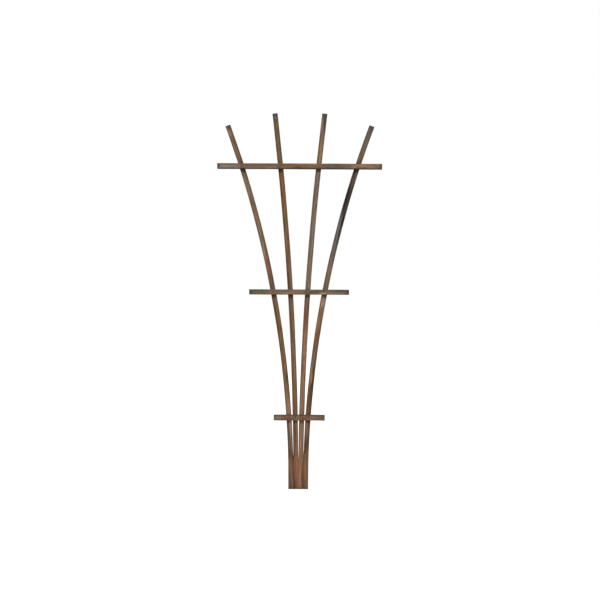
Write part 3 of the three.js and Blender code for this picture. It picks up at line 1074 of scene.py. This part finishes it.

# %% [markdown]
# Some marks are too local for the lists: a dark damp spot, a pale rubbed streak, the lighter ring round a
# staple. A few dark ones are painted shade: where the right outer upright meets the top and the lower rail,
# and along the top rail's lower edge. Each is a tone, its place along and across, its half length and half
# width, and how strong it is. Darkening along the edges is given as a share for the first edge and one for the
# second; along the top rail's lower edge it is painted shade.

# %% Single marks
MARKS = {
    "left_outer": [
        ("soot", 50, -10, 34, 4, 0.8), ("ash", 1225, -5, 50, 5, 0.7), ("rust", 1130, 3, 45, 4, 0.6),
        ("umber", 1010, 9, 30, 3, 0.7), ("rust", 560, 0, 26, 3, 0.6), ("smoke", 1012, -2, 30, 9, 0.6),
        ("umber", 900, 1, 30, 5, 0.4), ("tan", 1300, 0, 90, 4, 0.4), ("slate", 1040, 11, 60, 2.5, 0.8),
        ("slate", 1752, 3, 14, 8, 0.5), ("grey_brown", 100, -9, 50, 5, 0.5), ("brick", 85, 8, 60, 5, 0.7),
    ],
    "left_inner": [
        ("burnt_umber", 62, -3, 66, 6, 0.65), ("chestnut", 115, -3, 55, 6, 0.7),
        ("dark_chestnut", 235, 10, 80, 4, 0.6), ("russet", 55, 2, 40, 5, 0.5),
        ("honey", 1650, 0, 70, 3.5, 0.6), ("honey", 690, 0, 36, 3.5, 0.6),
        ("warm_brown", 1010, 1, 28, 4, 0.6), ("rust", 1440, 1, 60, 4, 0.5),
        ("umber", 1290, -8, 40, 4, 0.6), ("ash", 1806, 0, 16, 4, 0.7),
    ],
    "right_inner": [
        ("umber", 46, 7, 26, 4.5, 0.75), ("pale_tan", 250, 9, 50, 4, 0.5), ("tan", 1665, 1, 75, 5, 0.8),
        ("brick", 830, 4, 50, 5, 0.6), ("brick", 640, 9, 40, 3, 0.5), ("ash", 1345, 0, 100, 4, 0.5),
    ],
    "right_outer": [
        ("russet", 60, 1, 60, 7, 0.5), ("soot", 262, 11, 70, 3, 0.6),
        ("burnt_umber", 468, 11, 40, 3, 0.5), ("near_black", 205, -5, 34, 4, 0.6),
        ("pitch", 1425, -6, 75, 6, 0.8), ("rust", 480, -3, 30, 4, 0.5),
        ("cool_grey", 1280, -4, 60, 5, 0.7), ("pitch", 1292, 7, 58, 6, 0.85),
        ("slate", 1480, 0, 30, 3.5, 0.8), ("pale_tan", 902, 2, 26, 8, 0.6), ("tan", 540, 0, 30, 5, 0.5),
        # The umber band at 1588 and the burnt umber band at 368 are painted contact shade, with grime, where
        # this upright meets the top and the lower rail.
        ("ash", 615, 0, 36, 4, 0.6), ("honey", 690, 0, 40, 4, 0.6), ("umber", 1588, 0, 8, 12, 0.6),
        ("ash", 1145, 9, 44, 4, 0.6), ("burnt_umber", 368, 0, 8, 12, 0.5),
    ],
    "lower": [
        ("ash", 116, -2, 9, 9, 0.7), ("umber", 146, 5, 12, 5, 0.5), ("ash", 20, 0, 14, 6, 0.4),
    ],
    "middle": [
        ("soot", 9, 0, 6, 6, 0.4), ("rose_brown", 203, 2, 13, 9, 0.8), ("soot", 285, 1, 18, 8, 0.85),
        ("soot", 325, -1, 34, 7, 0.75), ("pale_tan", 356, 6, 22, 5, 0.8),
        ("pale_tan", 180, -11, 66, 3, 0.5), ("soot", 364, -5, 11, 5, 1.0), ("umber", 132, 8, 20, 4, 0.3),
    ],
    "top": [
        # The umber marks at 298 and 680 and the burnt umber at 430 lie on the lower half and are painted shade
        # of the underside.
        ("rose_brown", 672, -2, 15, 8, 0.4), ("umber", 298, 6, 14, 6, 0.3), ("slate", 578, 2, 30, 6, 0.5),
        ("ash", 618, 0, 24, 4, 0.4), ("brick", 218, -7, 40, 4, 0.6), ("soot", 6, 2, 8, 10, 0.4),
        ("slate", 66, -10.5, 44, 3.5, 0.9), ("slate", 50, 10.5, 60, 3.5, 0.8),
        ("pale_tan", 450, -9.5, 60, 3.5, 0.7), ("purple_grey", 200, -12, 90, 2, 0.8),
        ("burnt_umber", 430, 10, 60, 3.5, 0.85), ("umber", 680, 9, 16, 4, 0.5),
    ],
}
print("single marks:", sum(len(marks) for marks in MARKS.values()))

# %% How dark along the edges, how lively and how grey each lath is
# Darkening of the first and the second edge. The top rail's 0.95 on its lower edge is painted shade of its
# underside.
EDGE_GRIME_AND_SHADE = {"left_outer": (0.2, 0.1), "left_inner": (0.2, 0.1), "right_inner": (0.1, 0.2),
         "right_outer": (0.1, 0.35), "lower": (0.75, 0.0), "middle": (0.0, 0.05), "top": (0.1, 0.95)}
CONTRAST = {"left_outer": 1.3, "left_inner": 1.1, "right_inner": 1.0, "right_outer": 1.2,
            "lower": 1.1, "middle": 1.2, "top": 1.2}
GREY = {"left_outer": 0.12, "left_inner": 0.04, "right_inner": 0.14, "right_outer": 0.1,
        "lower": 0.14, "middle": 0.2, "top": 0.16}
print("the most_darkened edge has", max(max(pair) for pair in EDGE_GRIME_AND_SHADE.values()), "of full grime")

# %% [markdown]
# ## The wood material
# The tone comes first, then each effect changes it a little: streaks and fibres make it lighter and darker,
# a painted highlight runs down the middle of each face, latewood draws the ring lines, grey patches thin the
# stain, corners are rubbed pale, and dirt gathers in knots and on the thirsty cut ends. Painted shade darkens
# the hollows, the rounded corners, where it is mixed with stain, and the top rail's lower edge. The same masks
# drive roughness and a fine bump. Every step below takes the colour so far and gives the next one.

# %% What the mesh keeps, and streaks of six sizes
PATCH_SEED = 5.1
SAW_PITCH = 3.4 * MM


class Grain:
    """Everything about a point of a lath that the steps of its finish read."""

    def __init__(self, tree, seed, greyness):
        def kept(name, take="Vector"):
            return add_node(tree, "Attribute", take=take, attribute_name=name)

        def streak(width, length, seed_times):
            return streaks(self.in_lath, width * MM, length * MM, seed * seed_times)

        self.in_lath = kept("in_lath")
        self.across, _, self.along = self.in_lath.parts()
        self.count = kept("ring_count", "Fac")
        self.corner, self.near_end, self.hollow = kept("wear_and_shade").parts()
        self.broad = streak(6.5, 150, 1.7)
        self.narrow = streak(2.6, 70, 2.9)
        self.fibre = streak(0.6, 26, 4.3)
        self.hair = streak(0.24, 9, 6.1)
        self.heart = streak(3.4, 110, 3.7)
        self.check = hairlines(streak(3.1, 130, 7.3), self.broad)
        self.late = latewood(self.count, self.fibre)
        self.ripple = saw_ripple(self.in_lath, SAW_PITCH, self.broad)
        self.patch = grey_patches(self.in_lath, self.narrow, greyness, seed * PATCH_SEED)


print("one tooth of the saw marks every", SAW_PITCH / MM, "mm")

# %% Tones along a lath
HEARTWOOD_TINT = (1.08, 0.76, 0.52, 1.0)
SAPWOOD_TINT = (0.87, 1.0, 1.1, 1.0)
REDDEST = 0.3
GREYEST = 0.25
WAVER_ALONG = 30 * MM
WAVER_ACROSS = 9 * MM
HALF_MEETING = 5 * MM


def tone_ramp(factor, tones, share_of):
    """A colour ramp whose stops are the tones of one edge, at their shares of the length."""
    ramp = add_node(factor.tree, "ValToRGB", {"Fac": factor})
    stops = ramp.socket.node.color_ramp.elements
    for place, tone in tones[1:-1]:
        stops.new(share_of(place))
    for stop, (place, tone) in zip(stops, tones):
        stop.position = share_of(place)
        stop.color = as_written(tone)
    return ramp


def toned(grain, node, short):
    """The ramps of the two edges meet in a wavering line, heart streaks redden or grey them, and the lath's
    own marks, a few of them painted shade, are laid on top."""
    line = lines[node]
    length = line["along"][-1]
    measured = line["z"] if node.endswith("upright") else line["along"]

    def share_of(place):
        return float(np.interp(place * MM, measured, line["along"]) / length)

    wavering = (grain.narrow - 0.5) * (WAVER_ALONG / length) + grain.along / length
    one_edge, other_edge = (tone_ramp(wavering, tones, share_of) for tones in EDGE_TONES[short])
    meeting = (grain.broad - 0.5) * WAVER_ACROSS + grain.across
    colour = meeting.eased(-HALF_MEETING, HALF_MEETING).between(one_edge, other_edge)
    redder = grain.heart.eased(0.55, 0.95, 0.0, REDDEST * CONTRAST[short])
    greyer = grain.heart.eased(0.45, 0.05, 0.0, GREYEST * CONTRAST[short])
    colour = redder.between(colour, HEARTWOOD_TINT, "MULTIPLY")
    colour = greyer.between(colour, SAPWOOD_TINT, "MULTIPLY")
    for tone, along, across, half_length, half_width, strength in MARKS[short]:
        mark = blotch(grain.in_lath, share_of(along) * length, across * MM, half_length * MM, half_width * MM,
                      grain.narrow, grain.fibre)
        colour = (mark * strength).between(colour, as_written(tone))
    return colour


print("the two edges meet over", 2 * HALF_MEETING / MM, "mm")

# %% Light and dark in the grain
LATE_DARKENS = 0.3
RIPPLE_DARKENS = 0.08
EVEN_LIGHT = 1.085
BROAD_LIGHT = 0.4
NARROW_LIGHT = 0.5
FIBRE_LIGHT = 0.36
HAIR_LIGHT = 0.28
# Painted highlight down the middle of each face, fading to a faint painted shade towards its edges.
FACE_MIDDLE_HIGHLIGHT = (1 * MM, 7.5 * MM, 0.065, -0.02)  # from and to how far off the middle, and the light at both


def grained(colour, grain, contrast):
    """The colour times how light each point is: an even light plus each streak's own share of it, and a
    painted highlight down the middle of each face.
    """
    light = grain.late * -LATE_DARKENS + grain.ripple * -RIPPLE_DARKENS + EVEN_LIGHT
    weights = [(grain.broad, BROAD_LIGHT * contrast), (grain.narrow, NARROW_LIGHT * contrast),
               (grain.fibre, FIBRE_LIGHT), (grain.hair, HAIR_LIGHT)]
    for streak, weight in weights:
        light = light + (streak - 0.5) * weight
    # painted highlight down the middle of each face
    light = light + grain.across.maths("ABSOLUTE").eased(*FACE_MIDDLE_HIGHLIGHT)
    return add_node(light.tree, "VectorMath", {0: colour, "Scale": light}, operation="SCALE")


print("latewood is", LATE_DARKENS, "darker than the rest")

# %% Dirt, painted shade, knots and cut ends
FOOT_CORNER_FADE = (140 * MM, 260 * MM, 0.25, 1.0)  # the corners' darkening, stain and painted shade, is weaker below, where the uprights touch


def knotted(colour, grain, dark, knots):
    """Each knot is a reddish disc with a dark rim and rings of its own."""
    for along, across, radius in knots:
        radii = pin_knot(grain.in_lath, along * MM, across * MM, radius * MM, grain.fibre)
        inside = radii.eased(0.85, 1.2, 1.0, 0.0)
        colour = (inside * 0.75).between(colour, as_written("dark_chestnut"))
        rim = radii.eased(0.8, 1.15) * radii.eased(1.2, 1.7, 1.0, 0.0)
        own_rings = (radii * 15.0).maths("SINE") * inside
        dark = dark.or_more(rim * 0.8).or_more(own_rings * 0.35)
    return colour, dark


def dirtied_and_shaded(colour, grain, short, knots, half_width, at_foot):
    """Thin grey stain and rubbed corners first, then all the dark masks, of which the darkest counts. The
    corners, the hollows and the top rail's lower edge get painted shade among them.
    """
    colour = (grain.patch * 0.55).between(colour, as_written("smoke"))
    rubbed = worn_corners(grain.corner, grain.broad, grain.fibre)
    colour = (rubbed * 0.12).between(colour, as_written("honey"))
    # Painted shade along the rounded corners, mixed with stain.
    corner_stain_and_shade = grain.corner * (grain.narrow * -0.25 + 0.62)
    if at_foot:
        corner_stain_and_shade = corner_stain_and_shade * grain.along.eased(*FOOT_CORNER_FADE)
    # Darkening along the edges; along the top rail's lower edge this is painted shade.
    grime_and_shade = edge_grime_and_shade(grain.in_lath, half_width, *EDGE_GRIME_AND_SHADE[short], grain.narrow)
    # Painted shade in the hollows, cracks, staple beds and screw dishes: grain.hollow * 0.6.
    dark = corner_stain_and_shade.or_more(grain.hollow * 0.6).or_more(grime_and_shade).or_more(grain.check * 0.7)
    colour, dark = knotted(colour, grain, dark, knots)
    dark = dark.or_more(grain.near_end * (grain.fibre * 0.35 + 0.35))
    return dark.between(colour, as_written("near_black")), dark


def cut(colour, grain):
    """The cut ends show the growth rings as dark arcs."""
    end_rings = latewood(grain.count, grain.hair) * 0.85
    arcs = end_rings.between(as_written("umber"), as_written("cold_black"))
    return (grain.near_end.eased(0.93, 0.98) * 0.7).between(colour, arcs)


print("dirt reaches", EDGE_DARK_REACH / MM, "mm in from an edge")

# %% Build one material a lath
WOOD_BUMP = (0.8, 0.25 * MM)
SLOTS = {
    "left_outer_upright": "reddish_brown_wood",
    "left_inner_upright": "golden_brown_wood",
    "right_inner_upright": "mid_brown_wood",
    "right_outer_upright": "dark_brown_wood",
    "lower_rail": "rail_brown_wood",
    "middle_rail": "rail_grey_brown_wood",
    "top_rail": "rail_warm_brown_wood",
}


def stained_wood(node):
    """The whole finish of one lath."""
    short, kind = node.rsplit("_", 1)
    wood = LATH_WOOD[short]
    material, tree = new_material(f"stained_{node}")
    grain = Grain(tree, wood["seed"], GREY[short])
    colour = grained(toned(grain, node, short), grain, CONTRAST[short])
    half_width = (UPRIGHT_WIDTH if kind == "upright" else RAIL_WIDTH) / 2
    colour, dark = dirtied_and_shaded(colour, grain, short, wood["knots"], half_width, kind == "upright")
    rough = grain.fibre * 0.14 + grain.late * -0.1 + grain.patch * 0.08 + 0.74
    height = grain.late * 0.5 + grain.fibre * 0.45 + grain.ripple * 0.35 + grain.hair * 0.15
    height = height - grain.check * 0.6 - dark * 0.4
    feed_shader(tree, (height, *WOOD_BUMP), Base_Color=cut(colour, grain), Roughness=rough,
                Specular_IOR_Level=0.06)
    return material


for node, slot in SLOTS.items():
    laths[node].data.materials.append(stained_wood(node))
print("stained:", ", ".join(laths))

# %% [markdown]
# ## Metal
# Staples are zinc-coated steel. The trellis was stained after it was nailed up, so most crowns are brown with
# a little metal showing, and only a few were rubbed bare and catch the light. The screws have a brown wax
# coat over steel, worn through at the recess.

# %% Zinc wire
BARE_STAPLES = ["wire_middle_left_inner", "wire_middle_right_inner", "wire_middle_right_outer"]


def zinc_wire(name, bright, grey, stained_over):
    """Metal with dull spots, and rust or stain over some or most of it, all from noise in the object's own
    space."""
    material, tree = new_material(name)
    place = add_node(tree, "TexCoord", take="Object")
    dull, spots = noise(place, 420.0, 3.0), noise(place, 700.0, 2.0)
    over = spots.eased(0.72 - stained_over, 0.8 - stained_over)
    colour = over.between(dull.eased(0.35, 0.65).between(bright, grey), as_written("umber"))
    metal = spots.eased(0.7 - stained_over, 0.8 - stained_over, 0.95, 0.15)
    feed_shader(tree, (dull, 0.5, 0.05 * MM), Base_Color=colour, Metallic=metal,
                Roughness=dull.eased(0.3, 0.7, 0.32, 0.62))
    return material


bare_zinc = zinc_wire("bare_zinc", (0.48, 0.38, 0.29, 1), (0.27, 0.2, 0.14, 1), 0.14)
stained_zinc = zinc_wire("stained_zinc", (0.25, 0.19, 0.14, 1), (0.15, 0.12, 0.09, 1), 0.36)
for wire in staples:
    wire.data.materials.append(bare_zinc if wire.name in BARE_STAPLES else stained_zinc)
print("zinc on", len(staples), "staples,", len(BARE_STAPLES), "of them bare")

# %% Coated screws
BROWN_COAT = (0.17, 0.1, 0.05, 1)
BARE_STEEL = (0.42, 0.39, 0.35, 1)


def coated_steel():
    """A brown coat, rubbed through to steel where the noise is high."""
    material, tree = new_material("coated_screw_steel")
    rubbed = noise(add_node(tree, "TexCoord", take="Object"), 520.0, 4.0)
    feed_shader(tree, (rubbed, 0.4, 0.04 * MM),
                Base_Color=rubbed.eased(0.52, 0.66).between(BROWN_COAT, BARE_STEEL),
                Metallic=rubbed.eased(0.5, 0.68, 0.55, 1.0), Roughness=rubbed.eased(0.4, 0.7, 0.55, 0.35))
    return material


coat = coated_steel()
for screw in screws:
    screw.data.materials.append(coat)
print("coat on", len(screws), "screws")

# %% [markdown]
# ## Floor and light
# The trellis is shown on plain white. The floor and the world look white to the camera and to reflections,
# but light the wood much more gently, so that brown stays brown. A broad lamp high in front throws the short
# soft shadow under each rail, and a weaker one behind keeps the back readable.

# %% White floor
FLOOR_REACH = 14.0
FLOOR_GREY = (0.3, 0.3, 0.3, 1)
FAINT_GREY = (0.2, 0.2, 0.2, 1)
WHITE = (1, 1, 1, 1)
FLOOR_GLOW = 0.9


def seen_directly(tree):
    """1 where the camera, a reflection or glass looks at a thing, and 0 where it only lights others."""
    camera_ray, glossy, through = (add_node(tree, "LightPath", take=f"Is {kind} Ray")
                                   for kind in ("Camera", "Glossy", "Transmission"))
    return camera_ray.or_more(glossy).or_more(through)


def white_floor():
    """A pale floor. Seen directly it adds its own white, so only a faint shadow is left of it."""
    mesh = bpy.data.meshes.new("floor")
    corners = np.array([[-1, -1, 0], [1, -1, 0], [1, 1, 0], [-1, 1, 0]]) * FLOOR_REACH
    mesh.from_pydata(corners, [], [[0, 1, 2, 3]])
    material, tree = new_material("white_floor")
    tree.nodes.remove(tree.nodes["Principled BSDF"])
    pale = add_node(tree, "BsdfDiffuse", {"Color": FLOOR_GREY})
    faint = add_node(tree, "BsdfDiffuse", {"Color": FAINT_GREY})
    glow = add_node(tree, "Emission", {"Color": WHITE, "Strength": FLOOR_GLOW})
    white = add_node(tree, "AddShader", {0: glow, 1: faint})
    surface = add_node(tree, "MixShader", {0: seen_directly(tree), 1: pale, 2: white})
    feed(surface, tree.nodes["Material Output"].inputs["Surface"])
    mesh.materials.append(material)
    floor = new_object("floor", mesh)
    return floor


floor = white_floor()
print("floor is", 2 * FLOOR_REACH, "m wide")

# %% World and lamps
FILL_ABOVE = 0.8
FILL_BELOW = 0.15
KEY_LIGHT = 2.1
BACK_LIGHT = 1.1


def white_world():
    """White for the camera and for reflections, and a gentler white as light, weaker from below."""
    world = bpy.data.worlds.new("white_world")
    bpy.context.scene.world = world
    world.use_nodes = True
    tree = world.node_tree
    upward = add_node(tree, "TexCoord", take="Generated").parts()[2]
    fill = upward.eased(-0.6, 0.7, FILL_BELOW, FILL_ABOVE)
    background = tree.nodes["Background"]
    feed(fill.or_more(seen_directly(tree)), background.inputs["Strength"])
    feed(WHITE, background.inputs["Color"])


def broad_lamp(name, strength, height_angle, side_angle, spread):
    """A far soft lamp. Height angle is above level, side angle is round from straight in front."""
    lamp = bpy.data.lights.new(name, "SUN")
    lamp.energy = strength
    lamp.angle = math.radians(spread)
    new_object(name, lamp).rotation_euler = (math.radians(90 - height_angle), 0, math.radians(side_angle))


white_world()
broad_lamp("front_lamp", KEY_LIGHT, 42, -12, 22)
broad_lamp("back_lamp", BACK_LIGHT, 14, 172, 40)
print("fill", FILL_ABOVE, "front lamp", KEY_LIGHT, "back lamp", BACK_LIGHT)

# %% [markdown]
# ## Camera
# The trellis was photographed straight on, from a few steps back and at half its height. The camera's place
# was worked out from the ends of the rails, the foot and the tips, and it is rolled by a quarter of a degree
# because the rails fall a little to the right.

# %% Place the camera
CAMERA_PLACE = (4.6 * MM, -3200 * MM, 920.2 * MM)
CAMERA_LENS = 39.475
CAMERA_ROLL = math.radians(0.27)
camera_data = bpy.data.cameras.new("camera")
camera_data.sensor_width = 36
camera_data.lens = CAMERA_LENS
camera = new_object("camera", camera_data)
camera.location = CAMERA_PLACE
camera.rotation_euler = (math.pi / 2, -CAMERA_ROLL, 0)
bpy.context.scene.camera = camera
bpy.context.scene.view_settings.view_transform = "Standard"
print("camera at", CAMERA_PLACE, "lens", CAMERA_LENS)
